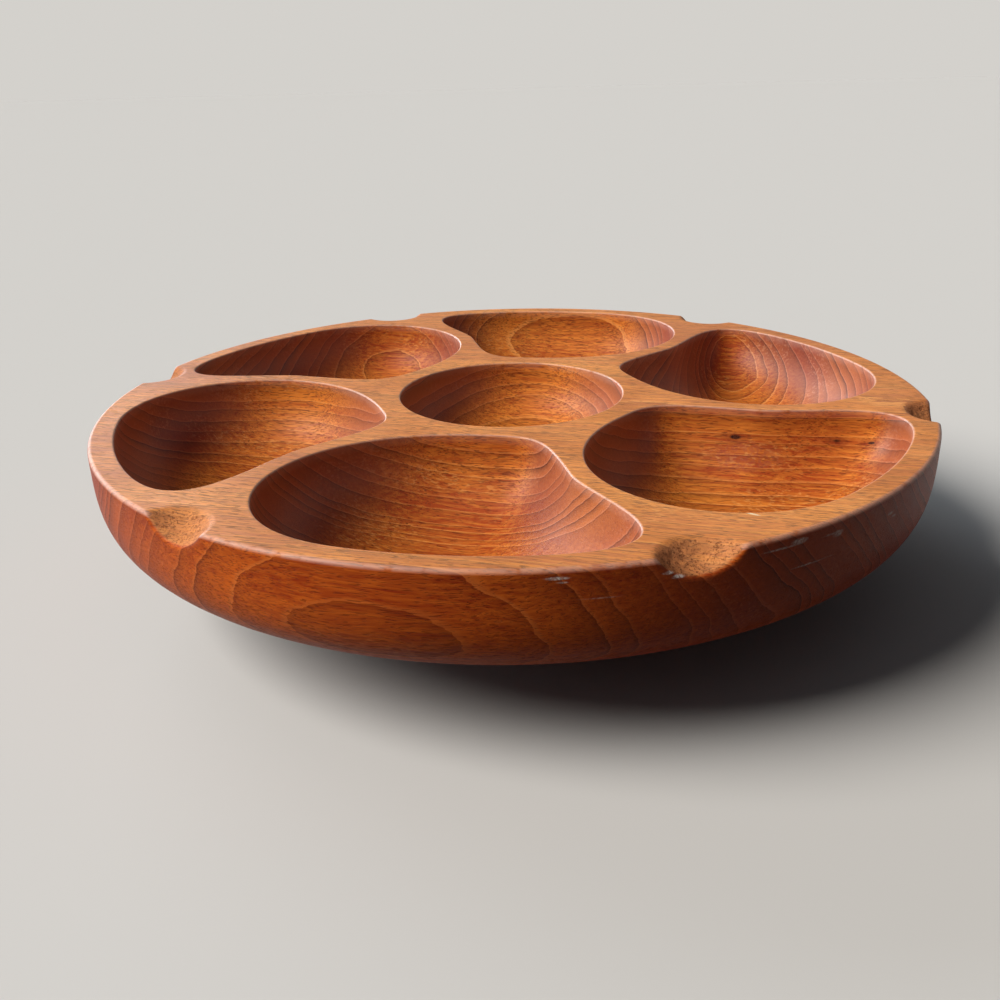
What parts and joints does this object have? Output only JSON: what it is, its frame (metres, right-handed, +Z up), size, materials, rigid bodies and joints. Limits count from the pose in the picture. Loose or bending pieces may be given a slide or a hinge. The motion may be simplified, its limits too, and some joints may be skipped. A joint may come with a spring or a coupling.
{
  "type": "lazy susan serving bowl",
  "caption": "Carved teak serving bowl with a round centre hollow ringed by swirled hollows, turning on a caged ball bearing over a small turned base.",
  "frame": {"origin": "on the turning axis, at the level that the felt feet stand on", "axes": "+Z up along the turning axis, -Y towards the viewer of the picture, +X to the viewer's right"},
  "size_m": [0.39, 0.39, 0.0803],
  "materials": {
    "bowl_teak": "hand-rubbed oil, satin",
    "base_teak": "hand-rubbed oil, satin",
    "plate_steel": "zinc plated, pressed",
    "cage_steel": "bare steel, oiled",
    "ball_steel": "polished",
    "screw_steel": "zinc plated",
    "felt": "pressed wool felt"
  },
  "bodies": {
    "stand": {"base": "base_teak", "lower_plate": "plate_steel", "base_screw_1": "screw_steel", "base_screw_2": "screw_steel", "base_screw_3": "screw_steel", "base_screw_4": "screw_steel", "felt_foot_1": "felt", "felt_foot_2": "felt", "felt_foot_3": "felt", "felt_foot_4": "felt"},
    "ball_ring": {"ball_cage": "cage_steel", "ball_01": "ball_steel", "ball_02": "ball_steel", "ball_03": "ball_steel", "ball_04": "ball_steel", "ball_05": "ball_steel", "ball_06": "ball_steel", "ball_07": "ball_steel", "ball_08": "ball_steel", "ball_09": "ball_steel", "ball_10": "ball_steel", "ball_11": "ball_steel", "ball_12": "ball_steel", "ball_13": "ball_steel", "ball_14": "ball_steel", "ball_15": "ball_steel", "ball_16": "ball_steel"},
    "turntable": {"bowl": "bowl_teak", "upper_plate": "plate_steel", "bowl_screw_1": "screw_steel", "bowl_screw_2": "screw_steel", "bowl_screw_3": "screw_steel", "bowl_screw_4": "screw_steel"}
  },
  "joints": [
    {"name": "bowl_spin", "type": "hinge", "parent": "stand", "child": "turntable", "pos_m": [0, 0, 0.0188], "axis": [0, 0, 1], "continuous": true},
    {"name": "cage_spin", "type": "hinge", "parent": "stand", "child": "ball_ring", "pos_m": [0, 0, 0.0188], "axis": [0, 0, 1], "continuous": true}
  ],
  "couplings": [
    {"joint": "cage_spin", "follows": "bowl_spin", "ratio": 0.5}
  ]
}
